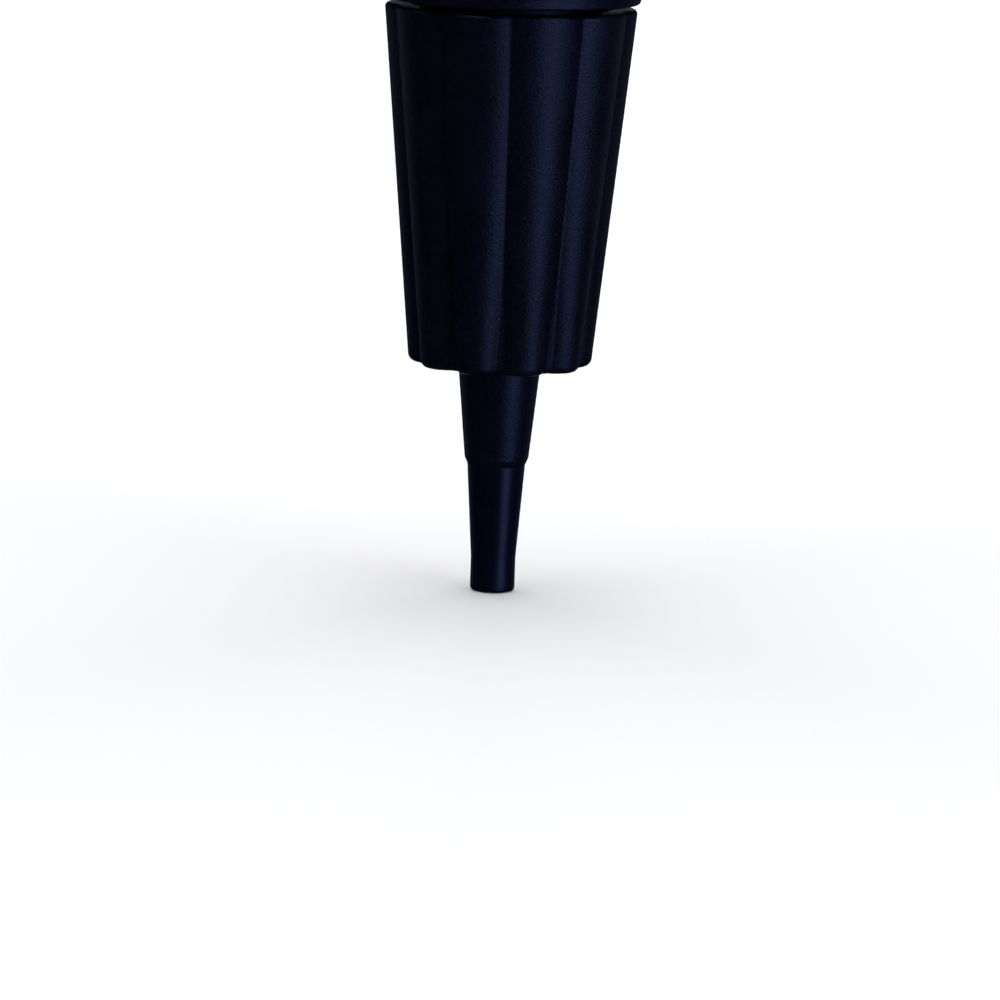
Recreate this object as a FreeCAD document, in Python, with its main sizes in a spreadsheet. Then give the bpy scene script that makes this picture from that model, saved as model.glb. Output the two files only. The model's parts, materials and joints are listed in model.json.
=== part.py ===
"""Double-action hand pump for exercise balls, built as a parametric FreeCAD document.

Row frame, millimetres: +Z runs up the pump's axis, the origin is the centre of the nozzle's open tip, and
the T handle's bar lies along X. The plunger is pushed fully home and the grip nut is screwed fully up.

From the tip upwards: a tapered nozzle, a lobed grip nut that clamps the nozzle's flange, a lower housing
that carries two check valves, the barrel, a screwed gland cap with its guide bush, and the handle.
Inside the barrel a wide plunger tube carries the moving piston. A fixed air tube runs up inside it and ends
in a fixed piston. Pushing drives the air below the moving piston out through the ring of ports, and pulling
drives the air between the two pistons down the air tube, so both strokes blow.
"""

import FreeCAD, Part
import math
import os

import Sketcher
from FreeCAD import Placement, Rotation, Vector

DIMENSIONS = {
    # gaps and edges that many pieces share, and how far a cut runs past the solid
    "overcut": 1.0,
    "ring_gap": 0.01,
    "screw_fit": 0.02,
    "fit_gap": 0.05,
    "slack": 0.1,
    "screw_gap": 0.15,
    "wide_gap": 0.2,
    "thread_sink": 0.1,
    "fine_bevel": 0.4,
    "bevel": 0.5,
    "wide_bevel": 0.6,
    # nozzle
    "tip_radius": 3.3,
    "tip_chamfer": 0.6,
    "land_top": 5.0,
    "step_low": 19.0,
    "step_high": 20.0,
    "step_low_radius": 4.27,
    "step_high_radius": 4.72,
    "neck_radius": 6.3,
    "neck_level": 36.2,
    "outlet_radius": 2.2,
    "outlet_top": 24.0,
    "throat_radius": 4.2,
    "throat_level": 36.0,
    "funnel_radius": 10.9,
    "funnel_level": 62.0,
    "funnel_foot": 11.0,
    "funnel_inner": 9.3,
    "flange_radius": 13.1,
    "flange_low": 66.0,
    "flange_high": 68.5,
    "rim_inner": 10.8,
    # grip nut
    "nut_base": 34.0,
    "nut_top": 86.7,
    "nut_low_radius": 13.36,
    "nut_high_radius": 18.37,
    "nut_hole": 6.5,
    "nut_floor": 36.2,
    "nut_cavity_low": 10.6,
    "nut_cavity_high": 12.8,
    "nut_cavity_level": 58.0,
    "nut_shoulder_inner": 11.4,
    "nut_shoulder_level": 62.0,
    "nut_seat_radius": 13.4,
    "nut_seat_top": 71.0,
    "nut_bore_level": 72.0,
    "nut_thread_bore": 14.4,
    "nut_bottom_round": 1.0,
    "nut_bottom_reach": 0.14,
    "nut_top_round": 0.8,
    "nut_top_reach": 0.03,
    "flutes": 10,
    "flute_low_floor": 12.073,
    "flute_high_floor": 17.174,
    "lobe_low_radius": 4.8,
    "lobe_low_root_x": 10.439,
    "lobe_low_root_y": 3.136,
    "lobe_low_edge_x": 11.733,
    "lobe_low_edge_y": 3.602,
    "lobe_high_radius": 8.4,
    "lobe_high_root_x": 14.915,
    "lobe_high_root_y": 4.57,
    "lobe_high_edge_x": 16.584,
    "lobe_high_edge_y": 5.178,
    # thread of the grip nut
    "thread_pitch": 3.0,
    "thread_height": 9.0,
    "thread_root": 13.3,
    "thread_crest": 14.2,
    "thread_inner_crest": 13.55,
    "thread_start": 74.0,
    "thread_base_half": 0.75,
    "thread_tip_half": 0.45,
    # lower housing and valves
    "gasket_top": 70.0,
    "housing_pilot": 13.0,
    "housing_pilot_top": 72.5,
    "housing_root_level": 72.8,
    "collar_low": 87.5,
    "collar_low_radius": 18.75,
    "collar_top": 104.0,
    "spigot_radius": 17.95,
    "spigot_top": 114.0,
    "seal_groove_low": 107.0,
    "seal_groove_high": 109.0,
    "seal_groove_radius": 16.6,
    "seal_section": 0.7,
    "plenum_low": 86.0,
    "plenum_high": 90.5,
    "plenum_radius": 14.2,
    "plate_low": 111.0,
    "plate_radius": 15.9,
    "boss_radius": 6.0,
    "boss_low": 103.5,
    "socket_low": 106.0,
    "ports": 6,
    "port_radius": 2.2,
    "port_circle": 10.2,
    "flap_inner": 6.4,
    "flap_outer": 13.6,
    "flap_low": 108.5,
    "flap_thickness": 1.0,
    "disc_radius": 4.5,
    "disc_low": 100.95,
    "disc_thickness": 1.0,
    "cage_outer": 14.9,
    "cage_inner": 13.9,
    "cage_low": 98.0,
    "vanes": 3,
    "vane_start": 0.2,
    "vane_end": 14.2,
    "vane_half": 0.8,
    "vane_relief": 6.4,
    "spider_low": 99.6,
    "spider_high": 100.9,
    "cup_inner": 4.9,
    "cup_outer": 5.9,
    "cup_foot": 6.5,
    "cup_high": 103.3,
    "bumper_inner": 13.0,
    "bumper_outer": 17.6,
    "bumper_high": 116.0,
    # barrel and gland cap
    "barrel_radius": 20.0,
    "barrel_bore": 18.0,
    "barrel_neck": 19.6,
    "barrel_neck_low": 223.5,
    "barrel_top": 236.0,
    "barrel_thread_crest": 20.6,
    "barrel_thread_start": 228.5,
    "barrel_thread_height": 5.0,
    "cap_low": 224.0,
    "cap_seat": 238.0,
    "cap_top": 241.0,
    "cap_shoulder": 2.0,
    "cap_radius": 23.4,
    "cap_bore": 20.9,
    "cap_thread_crest": 19.9,
    "cap_hole": 14.6,
    "cap_flutes": 24,
    "cap_flute_radius": 1.6,
    "cap_flute_depth": 0.7,
    "cap_flute_top": 237.0,
    "bush_inner": 14.2,
    "bush_outer": 17.9,
    "bush_flange": 19.6,
    "bush_low": 232.6,
    "stop_low": 231.0,
    "stop_gap": 0.3,
    # fixed air tube and fixed piston
    "air_tube_radius": 4.0,
    "air_tube_bore": 2.6,
    "air_tube_top": 245.0,
    "air_port_level": 238.6,
    "air_port_radius": 1.2,
    "socket_radius": 4.05,
    "head_low": 240.0,
    "head_lip": 8.4,
    "head_lip_top": 241.0,
    "head_core": 7.0,
    "head_flange_low": 245.0,
    "head_flange": 11.8,
    "head_top": 247.0,
    "lip_heel": 1.4,
    "lip_root": 1.8,
    "lip_inner": 0.9,
    # moving piston and plunger tube
    "piston_low": 116.4,
    "piston_core_low": 119.2,
    "piston_core": 13.0,
    "piston_flange_low": 127.4,
    "piston_flange": 17.5,
    "cup_bore": 13.3,
    "cup_root": 16.0,
    "cup_heel_low": 125.0,
    "cup_lip_inner": 16.8,
    "cup_lip_outer": 17.8,
    "cup_lip_low": 119.6,
    "cup_bend": 17.5,
    "cup_bend_level": 126.2,
    "cup_top_radius": 17.2,
    "cup_top": 127.2,
    "tube_low": 130.4,
    "piston_spigot": 12.1,
    "piston_spigot_top": 139.0,
    "piston_recess": 8.5,
    "piston_recess_low": 134.0,
    "piston_hole": 4.25,
    "inner_groove_low": 123.8,
    "inner_groove_high": 126.2,
    "inner_groove_radius": 6.1,
    "inner_section": 0.9,
    "retainer_radius": 16.6,
    "retainer_hole": 4.6,
    "retainer_bevel": 0.8,
    "piston_screw_count": 3,
    "piston_screw_circle": 9.5,
    "small_shank": 1.4,
    "small_length": 9.5,
    "small_pilot": 8.0,
    "small_slot_half": 0.3,
    "small_slot_depth": 0.8,
    "small_head": 2.6,
    "small_head_height": 1.3,
    "tube_radius": 14.0,
    "tube_bore": 12.2,
    "tube_top": 270.0,
    # handle, whose own frame sits at the crossing of the hub's and the bar's axes
    "bar_level": 262.0,
    "hub_radius": 17.6,
    "hub_foot_radius": 16.4,
    "hub_low": 19.0,
    "hub_foot": 16.0,
    "hub_top": 14.5,
    "hub_dome": 5.0,
    "hub_bore": 14.05,
    "hub_socket_top": 8.0,
    "hub_room": 12.0,
    "hub_room_top": 11.8,
    "vent_hole": 6.0,
    "bar_radius": 12.0,
    "bar_collar": 24.0,
    "bar_core": 9.4,
    "bar_half": 54.0,
    "bar_hollow_wide": 9.2,
    "bar_hollow_start": 16.0,
    "bar_hollow_step": 22.5,
    "bar_hollow": 7.0,
    "boss_x": 20.2,
    "handle_boss": 3.4,
    "handle_boss_length": 10.5,
    "handle_pilot_depth": 9.0,
    "handle_pilot": 1.25,
    "handle_clear": 1.7,
    "handle_shank": 1.2,
    "screw_head": 2.8,
    "screw_head_height": 1.8,
    "screw_seat": 8.6,
    "handle_screw_length": 15.6,
    "cross_long": 1.6,
    "cross_short": 0.35,
    "cross_depth": 1.2,
    "pin_level": 255.0,
    "pin_radius": 1.5,
    "pin_hole": 1.55,
    "pin_half": 16.0,
    "grip_end": 12.3,
    "grip_middle": 13.1,
    "grip_bore": 9.45,
    "grip_round": 0.8,
    "end_cap_length": 4.5,
    "end_cap_radius": 12.5,
    "end_cap_round": 2.6,
    "end_cap_spigot": 6.95,
    "end_cap_spigot_length": 8.0,
    "end_cap_bore": 5.35,
    "end_cap_floor": 1.5,
    "vent_cap_radius": 9.6,
    "vent_cap_height": 1.8,
    "vent_cap_round": 0.8,
    "vent_spigot": 5.9,
    "vent_spigot_bore": 4.6,
    "vent_slots": 6,
    "vent_slot_start": 1.4,
    "vent_slot_end": 4.2,
    "vent_slot_half": 0.5,
    "filter_radius": 11.6,
}

doc = FreeCAD.newDocument("ball_pump")
sheet = doc.addObject("Spreadsheet::Sheet", "dims")
for row, (alias, size) in enumerate(DIMENSIONS.items(), start=1):
    sheet.set(f"A{row}", alias)
    sheet.set(f"B{row}", str(size))
    sheet.setAlias(f"B{row}", alias)
doc.recompute()


# ---- sums of dimensions, written as text such as "cap_top - cap_shoulder" or "thread_pitch*0.5" ----


def terms(text):
    """The signed products that a sum is made of, as lists of words."""
    sign = 1
    for word in text.split():
        if word in ("+", "-"):
            sign = 1 if word == "+" else -1
            continue
        yield sign, word.split("*")
        sign = 1


def number(text):
    """What a sum of dimensions comes to, in millimetres."""
    total = 0.0
    for sign, factors in terms(text):
        product = sign
        for factor in factors:
            product *= DIMENSIONS[factor] if factor in DIMENSIONS else float(factor)
        total += product
    return total


def bound(text):
    """The same sum as a FreeCAD expression that reads the spreadsheet."""
    parts = []
    for sign, factors in terms(text):
        named = ["dims." + f if f in DIMENSIONS else f for f in factors]
        parts.append(("+ " if sign > 0 else "- ") + " * ".join(named))
    return " ".join(parts).removeprefix("+ ")


# ---- sketches ----


def origin_feature(body, role):
    return next(f for f in body.Origin.OriginFeatures if f.Role == role)


def new_body(label, level=None, turn=0):
    """An empty body; level raises its own frame along Z, and turn rotates it about Z, in degrees."""
    body = doc.addObject("PartDesign::Body", label)
    body.Label = label
    body.AllowCompound = True
    body.Placement = Placement(Vector(0, 0, 0), Rotation(Vector(0, 0, 1), turn))
    if level is not None:
        body.setExpression("Placement.Base.z", bound(level))
    return body


def sketch_on(body, role="XZ_Plane", level=None):
    """An empty sketch on one of the body's origin planes, moved by level along the plane's normal."""
    sketch = body.newObject("Sketcher::SketchObject", "outline")
    sketch.AttachmentSupport = (origin_feature(body, role), [""])
    sketch.MapMode = "FlatFace"
    if level is not None:
        sketch.setExpression("AttachmentOffset.Base.z", bound(level))
    return sketch


def tie(sketch, kind, text, *where):
    """A dimension of the sketch that follows a sum of sheet dimensions."""
    index = sketch.addConstraint(Sketcher.Constraint(kind, *where, number(text)))
    sketch.renameConstraint(index, f"size{index}")
    sketch.setExpression(f"Constraints.size{index}", bound(text))


def hold(sketch, geometry, point, x, y):
    """Ties a point of the sketch to its place."""
    for kind, text, other_axis in (("DistanceX", x, -2), ("DistanceY", y, -1)):
        if abs(number(text)) < 1e-9:
            sketch.addConstraint(Sketcher.Constraint("PointOnObject", geometry, point, other_axis))
        else:
            tie(sketch, kind, text, -1, 1, geometry, point)


def draw_outline(sketch, corners):
    """A closed outline through corners (x, y). A third entry turns the side that leaves the corner into an
    arc of that radius, which bulges to the right of the way the outline runs, or to the left when it is
    negative."""
    places = [Vector(number(corner[0]), number(corner[1]), 0) for corner in corners]
    sides = []
    for i, corner in enumerate(corners):
        start, end = places[i], places[(i + 1) % len(places)]
        if len(corner) == 2:
            sides.append((sketch.addGeometry(Part.LineSegment(start, end), False), 1, 2))
            continue
        radius = number(corner[2])
        chord = end - start
        to_side = Vector(chord.y, -chord.x, 0).normalize() * math.copysign(1, radius)
        rise = abs(radius) - math.sqrt(radius**2 - chord.Length**2 / 4)
        arc = Part.ArcOfCircle(start, (start + end) * 0.5 + to_side * rise, end)
        index = sketch.addGeometry(arc, False)
        tie(sketch, "Radius", corner[2].lstrip("- "), index)
        sides.append((index, 1, 2) if radius > 0 else (index, 2, 1))
    for i, (index, first, last) in enumerate(sides):
        following, its_first, _ = sides[(i + 1) % len(sides)]
        sketch.addConstraint(Sketcher.Constraint("Coincident", index, last, following, its_first))
    for (index, first, _), corner in zip(sides, corners):
        hold(sketch, index, first, corner[0], corner[1])


def draw_circle(sketch, x, y, radius):
    circle = Part.Circle(Vector(number(x), number(y), 0), Vector(0, 0, 1), number(radius))
    index = sketch.addGeometry(circle, False)
    hold(sketch, index, 3, x, y)
    tie(sketch, "Radius", radius, index)


# ---- features ----


def add_feature(body, kind, sketch, **settings):
    feature = body.newObject(f"PartDesign::{kind}", kind)
    feature.Profile = sketch
    for name, setting in settings.items():
        setattr(feature, name, setting)
    sketch.Visibility = False
    return feature


def revolve(body, corners, kind="Revolution", axis="V_Axis", angle=360, flip=False):
    sketch = sketch_on(body)
    draw_outline(sketch, corners)
    return add_feature(body, kind, sketch, ReferenceAxis=(sketch, [axis]), Angle=angle, Reversed=flip)


def turned(label, corners, level=None):
    """A body of revolution about Z."""
    body = new_body(label, level)
    revolve(body, corners)
    return body


def seal_ring(label, ring_radius, level, section):
    """An O-ring about Z."""
    body = new_body(label)
    sketch = sketch_on(body)
    draw_circle(sketch, ring_radius, level, section)
    add_feature(body, "Revolution", sketch, ReferenceAxis=(sketch, ["V_Axis"]), Angle=360)
    return body


def column(body, kind, circles, start, length, role="XY_Plane", flip=False):
    """Round pads, or round pockets, of one length from a plane at start."""
    sketch = sketch_on(body, role, start)
    for x, y, radius in circles:
        draw_circle(sketch, x, y, radius)
    feature = add_feature(body, kind, sketch, Reversed=flip)
    feature.setExpression("Length", bound(length))
    return feature


def slab(body, kind, corners, start, length, role="XY_Plane", flip=False):
    """A straight-sided pad or pocket of one length from a plane at start."""
    sketch = sketch_on(body, role, start)
    draw_outline(sketch, corners)
    feature = add_feature(body, kind, sketch, Reversed=flip)
    feature.setExpression("Length", bound(length))
    return feature


def repeat(body, features, count):
    """Features repeated about Z."""
    pattern = body.newObject("PartDesign::PolarPattern", "around")
    pattern.Originals = features
    pattern.Axis = (origin_feature(body, "Z_Axis"), [""])
    pattern.Angle = 360
    pattern.Occurrences = int(number(count))
    body.Tip = pattern


def thread(body, foot, crest, start, height):
    """A right-handed ridge wound about Z, from the foot radius to the crest radius."""
    sketch = sketch_on(body)
    corners = [
        (foot, start + " - thread_base_half"),
        (crest, start + " - thread_tip_half"),
        (crest, start + " + thread_tip_half"),
        (foot, start + " + thread_base_half"),
    ]
    draw_outline(sketch, corners)
    ridge = add_feature(body, "AdditiveHelix", sketch, ReferenceAxis=(sketch, ["V_Axis"]))
    ridge.Mode = "pitch-height-angle"
    ridge.setExpression("Pitch", bound("thread_pitch"))
    ridge.setExpression("Height", bound(height))


# ---- nozzle, grip nut and gasket ----

nozzle = turned("nozzle", [
    ("outlet_radius", "0"),
    ("tip_radius - tip_chamfer", "0"),
    ("tip_radius", "tip_chamfer"),
    ("tip_radius", "land_top"),
    ("step_low_radius", "step_low"),
    ("step_high_radius", "step_high"),
    ("neck_radius", "neck_level"),
    ("funnel_radius", "funnel_level"),
    ("funnel_foot", "flange_low"),
    ("flange_radius", "flange_low"),
    ("flange_radius", "flange_high"),
    ("rim_inner", "flange_high"),
    ("funnel_inner", "funnel_level"),
    ("throat_radius", "throat_level"),
    ("outlet_radius", "outlet_top"),
])

grip_nut = turned("nose_cone", [
    ("0", "nut_base"),
    ("flute_low_floor", "nut_base"),
    ("flute_high_floor", "nut_top"),
    ("0", "nut_top"),
])
sections = []
for end in ("low", "high"):
    lobe = sketch_on(grip_nut, "XY_Plane", "nut_base" if end == "low" else "nut_top")
    draw_outline(lobe, [
        (f"lobe_{end}_root_x", f"- lobe_{end}_root_y"),
        (f"lobe_{end}_edge_x", f"- lobe_{end}_edge_y", f"lobe_{end}_radius"),
        (f"lobe_{end}_edge_x", f"lobe_{end}_edge_y"),
        (f"lobe_{end}_root_x", f"lobe_{end}_root_y"),
    ])
    sections.append(lobe)
lobe_loft = add_feature(grip_nut, "AdditiveLoft", sections[0], Sections=[sections[1]], Ruled=True)
repeat(grip_nut, [lobe_loft], "flutes")
revolve(grip_nut, [
    ("nut_low_radius - nut_bottom_round", "nut_base - overcut"),
    ("nut_low_radius + overcut", "nut_base - overcut"),
    ("nut_low_radius + overcut", "nut_base + nut_bottom_round"),
    ("nut_low_radius + nut_bottom_reach", "nut_base + nut_bottom_round", "- nut_bottom_round"),
    ("nut_low_radius - nut_bottom_round", "nut_base"),
], "Groove")
revolve(grip_nut, [
    ("nut_high_radius + overcut", "nut_top + overcut"),
    ("nut_high_radius - nut_top_round", "nut_top + overcut"),
    ("nut_high_radius - nut_top_round", "nut_top", "- nut_top_round"),
    ("nut_high_radius - nut_top_reach", "nut_top - nut_top_round"),
    ("nut_high_radius + overcut", "nut_top - nut_top_round"),
], "Groove")
revolve(grip_nut, [
    ("0", "nut_base - overcut"),
    ("nut_hole", "nut_base - overcut"),
    ("nut_hole", "nut_floor"),
    ("nut_cavity_low", "nut_floor"),
    ("nut_cavity_high", "nut_cavity_level"),
    ("nut_shoulder_inner", "nut_shoulder_level"),
    ("nut_shoulder_inner", "flange_low - fit_gap"),
    ("nut_seat_radius", "flange_low - fit_gap"),
    ("nut_seat_radius", "nut_seat_top"),
    ("nut_thread_bore", "nut_bore_level"),
    ("nut_thread_bore", "nut_top - bevel"),
    ("nut_thread_bore + bevel", "nut_top"),
    ("nut_thread_bore + bevel", "nut_top + overcut"),
    ("0", "nut_top + overcut"),
], "Groove")
thread(grip_nut, "nut_thread_bore + thread_sink", "thread_inner_crest", "thread_start + thread_pitch*0.5",
       "thread_height")

gasket = turned("nose_gasket", [
    ("rim_inner", "flange_high"),
    ("flange_radius", "flange_high"),
    ("flange_radius", "gasket_top - fit_gap"),
    ("rim_inner", "gasket_top - fit_gap"),
])

# ---- lower housing with its valves ----

housing = turned("lower_housing", [
    ("rim_inner", "gasket_top"),
    ("housing_pilot", "gasket_top"),
    ("housing_pilot", "housing_pilot_top"),
    ("thread_root", "housing_root_level"),
    ("thread_root", "collar_low"),
    ("collar_low_radius - fine_bevel", "collar_low"),
    ("collar_low_radius", "collar_low + fine_bevel"),
    ("barrel_radius", "collar_top"),
    ("spigot_radius", "collar_top"),
    ("spigot_radius", "seal_groove_low"),
    ("seal_groove_radius", "seal_groove_low"),
    ("seal_groove_radius", "seal_groove_high"),
    ("spigot_radius", "seal_groove_high"),
    ("spigot_radius", "spigot_top - wide_bevel"),
    ("spigot_radius - wide_bevel", "spigot_top"),
    ("plate_radius + fit_gap", "spigot_top"),
    ("plate_radius + fit_gap", "plate_low"),
    ("cage_outer + slack", "plate_low"),
    ("cage_outer + slack", "cage_low"),
    ("plenum_radius", "cage_low"),
    ("plenum_radius", "plenum_high"),
    ("rim_inner", "plenum_low"),
])
thread(housing, "thread_root - thread_sink", "thread_crest", "thread_start", "thread_height")

valve_plate = turned("valve_plate", [
    ("air_tube_bore", "boss_low"),
    ("boss_radius", "boss_low"),
    ("boss_radius", "plate_low"),
    ("plate_radius", "plate_low"),
    ("plate_radius", "spigot_top"),
    ("socket_radius", "spigot_top"),
    ("socket_radius", "socket_low"),
    ("air_tube_bore", "socket_low"),
])
port = column(valve_plate, "Pocket", [("port_circle", "0", "port_radius")],
              "spigot_top", "spigot_top - plate_low")
repeat(valve_plate, [port], "ports")

cage = turned("valve_cage", [
    ("cage_inner", "cage_low"),
    ("cage_outer", "cage_low"),
    ("cage_outer", "plate_low"),
    ("cage_inner", "plate_low"),
])
vane = slab(cage, "Pad", [
    ("vane_start", "- vane_half"),
    ("vane_end", "- vane_half"),
    ("vane_end", "vane_half"),
    ("vane_start", "vane_half"),
], "spider_low", "flap_low - slack - spider_low")
repeat(cage, [vane], "vanes")
revolve(cage, [
    ("0", "spider_high"),
    ("vane_relief", "spider_high"),
    ("vane_relief", "flap_low"),
    ("0", "flap_low"),
], "Groove")
revolve(cage, [
    ("cup_inner", "spider_low"),
    ("cup_foot", "spider_low"),
    ("cup_foot", "spider_high"),
    ("cup_outer", "cup_high"),
    ("cup_inner", "cup_high"),
])

outlet_flap = turned("outlet_flap", [
    ("flap_inner", "flap_low"),
    ("flap_outer", "flap_low"),
    ("flap_outer", "flap_low + flap_thickness"),
    ("flap_inner", "flap_low + flap_thickness"),
])

tube_disc = turned("tube_valve_disc", [
    ("0", "disc_low"),
    ("disc_radius", "disc_low"),
    ("disc_radius", "disc_low + disc_thickness"),
    ("0", "disc_low + disc_thickness"),
])

bottom_bumper = turned("bottom_bumper", [
    ("bumper_inner", "spigot_top"),
    ("bumper_outer", "spigot_top"),
    ("bumper_outer", "bumper_high - fine_bevel"),
    ("bumper_outer - fine_bevel", "bumper_high"),
    ("bumper_inner + fine_bevel", "bumper_high"),
    ("bumper_inner", "bumper_high - fine_bevel"),
])

# ---- barrel, its cap and its bush ----

barrel = turned("barrel_tube", [
    ("barrel_bore", "collar_top"),
    ("barrel_radius", "collar_top"),
    ("barrel_radius", "barrel_neck_low"),
    ("barrel_neck", "barrel_neck_low"),
    ("barrel_neck", "barrel_top"),
    ("barrel_bore", "barrel_top"),
])
thread(barrel, "barrel_neck - thread_sink", "barrel_thread_crest", "barrel_thread_start",
       "barrel_thread_height")

barrel_seal = seal_ring("barrel_seal_ring", "seal_groove_radius + seal_section",
                        "seal_groove_low*0.5 + seal_groove_high*0.5", "seal_section - ring_gap")

cap = turned("gland_cap", [
    ("cap_bore", "cap_low"),
    ("cap_radius - bevel", "cap_low"),
    ("cap_radius", "cap_low + bevel"),
    ("cap_radius", "cap_top - cap_shoulder"),
    ("cap_radius - cap_shoulder", "cap_top"),
    ("cap_hole + wide_bevel", "cap_top"),
    ("cap_hole", "cap_top - wide_bevel"),
    ("cap_hole", "cap_seat"),
    ("cap_bore", "cap_seat"),
])
flute = column(cap, "Pocket", [("cap_radius - cap_flute_depth + cap_flute_radius", "0", "cap_flute_radius")],
               "cap_flute_top", "cap_flute_top - cap_low + overcut")
repeat(cap, [flute], "cap_flutes")
thread(cap, "cap_bore + thread_sink", "cap_thread_crest", "barrel_thread_start + thread_pitch*0.5",
       "barrel_thread_height")

bush = turned("guide_bush", [
    ("bush_inner", "bush_low"),
    ("bush_outer", "bush_low"),
    ("bush_outer", "barrel_top"),
    ("bush_flange", "barrel_top"),
    ("bush_flange", "cap_seat"),
    ("bush_inner", "cap_seat"),
])

stop_bumper = turned("stop_bumper", [
    ("bush_inner + stop_gap", "stop_low"),
    ("bush_outer - stop_gap", "stop_low"),
    ("bush_outer - stop_gap", "bush_low"),
    ("bush_inner + stop_gap", "bush_low"),
])

# ---- air tube and fixed piston ----

air_tube = turned("air_tube", [
    ("air_tube_bore", "socket_low"),
    ("air_tube_radius", "socket_low"),
    ("air_tube_radius", "air_tube_top"),
    ("air_tube_bore", "air_tube_top"),
])
column(air_tube, "Pocket", [("0", "air_port_level", "air_port_radius")], "air_tube_radius + overcut",
       "air_tube_radius*2 + overcut*2", "XZ_Plane")

fixed_piston = turned("fixed_piston", [
    ("socket_radius", "head_low"),
    ("head_lip", "head_low"),
    ("head_lip", "head_lip_top"),
    ("head_core", "head_lip_top"),
    ("head_core", "head_flange_low"),
    ("head_flange", "head_flange_low"),
    ("head_flange", "head_top"),
    ("0", "head_top"),
    ("0", "air_tube_top + fit_gap"),
    ("socket_radius", "air_tube_top + fit_gap"),
])

fixed_seal = turned("fixed_piston_seal", [
    ("head_core + fit_gap", "head_flange_low - lip_heel"),
    ("head_flange - lip_root", "head_flange_low - lip_heel"),
    ("head_flange - lip_inner", "head_lip_top + wide_gap"),
    ("head_flange + slack", "head_lip_top + wide_gap"),
    ("head_flange - slack", "head_flange_low - slack"),
    ("head_core + fit_gap", "head_flange_low - slack"),
])

# ---- moving piston and plunger tube ----

piston = turned("piston_body", [
    ("piston_hole", "piston_core_low"),
    ("piston_core", "piston_core_low"),
    ("piston_core", "piston_flange_low"),
    ("piston_flange", "piston_flange_low"),
    ("piston_flange", "tube_low"),
    ("piston_spigot", "tube_low"),
    ("piston_spigot", "piston_spigot_top - wide_bevel"),
    ("piston_spigot - wide_bevel", "piston_spigot_top"),
    ("piston_recess", "piston_spigot_top"),
    ("piston_recess", "piston_recess_low"),
    ("piston_hole", "piston_recess_low"),
    ("piston_hole", "inner_groove_high"),
    ("inner_groove_radius", "inner_groove_high"),
    ("inner_groove_radius", "inner_groove_low"),
    ("piston_hole", "inner_groove_low"),
])
pilot = column(piston, "Pocket", [("piston_screw_circle", "0", "small_shank + screw_fit")],
               "piston_core_low", "small_pilot", flip=True)
repeat(piston, [pilot], "piston_screw_count")

inner_seal = seal_ring("piston_inner_seal", "inner_groove_radius - inner_section",
                       "inner_groove_low*0.5 + inner_groove_high*0.5", "inner_section - screw_fit")

cup = turned("piston_cup_seal", [
    ("cup_bore", "cup_heel_low"),
    ("cup_root", "cup_heel_low"),
    ("cup_lip_inner", "cup_lip_low"),
    ("cup_lip_outer", "cup_lip_low"),
    ("cup_bend", "cup_bend_level"),
    ("cup_top_radius", "cup_top"),
    ("cup_bore", "cup_top"),
])

retainer = turned("piston_retainer", [
    ("retainer_hole", "piston_low"),
    ("retainer_radius - retainer_bevel", "piston_low"),
    ("retainer_radius", "piston_low + retainer_bevel"),
    ("retainer_radius", "piston_core_low"),
    ("retainer_hole", "piston_core_low"),
])
bolt_hole = column(retainer, "Pocket", [("piston_screw_circle", "0", "small_shank + screw_gap")],
                   "piston_core_low", "piston_core_low - piston_low")
bolt_seat = column(retainer, "Pocket", [("piston_screw_circle", "0", "small_head + screw_gap")],
                   "piston_low", "small_head_height + slack", flip=True)
repeat(retainer, [bolt_hole, bolt_seat], "piston_screw_count")

piston_screws = new_body("piston_screws")
shank = column(piston_screws, "Pad", [("piston_screw_circle", "0", "small_shank")],
               "piston_low + slack", "small_length")
head = column(piston_screws, "Pad", [("piston_screw_circle", "0", "small_head")],
              "piston_low + slack", "small_head_height")
drive = slab(piston_screws, "Pocket", [
    ("piston_screw_circle - small_shank", "- small_slot_half"),
    ("piston_screw_circle + small_shank", "- small_slot_half"),
    ("piston_screw_circle + small_shank", "small_slot_half"),
    ("piston_screw_circle - small_shank", "small_slot_half"),
], "piston_low + slack", "small_slot_depth", flip=True)
repeat(piston_screws, [shank, head, drive], "piston_screw_count")

plunger = turned("plunger_tube", [
    ("tube_bore", "tube_low"),
    ("tube_radius", "tube_low"),
    ("tube_radius", "tube_top"),
    ("tube_bore", "tube_top"),
])
column(plunger, "Pocket", [("0", "pin_level", "pin_hole")], "tube_radius + overcut",
       "tube_radius*2 + overcut*2", "XZ_Plane")

# ---- handle: two shells that meet on the XZ plane, each drawn on its own -Y side ----


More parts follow.
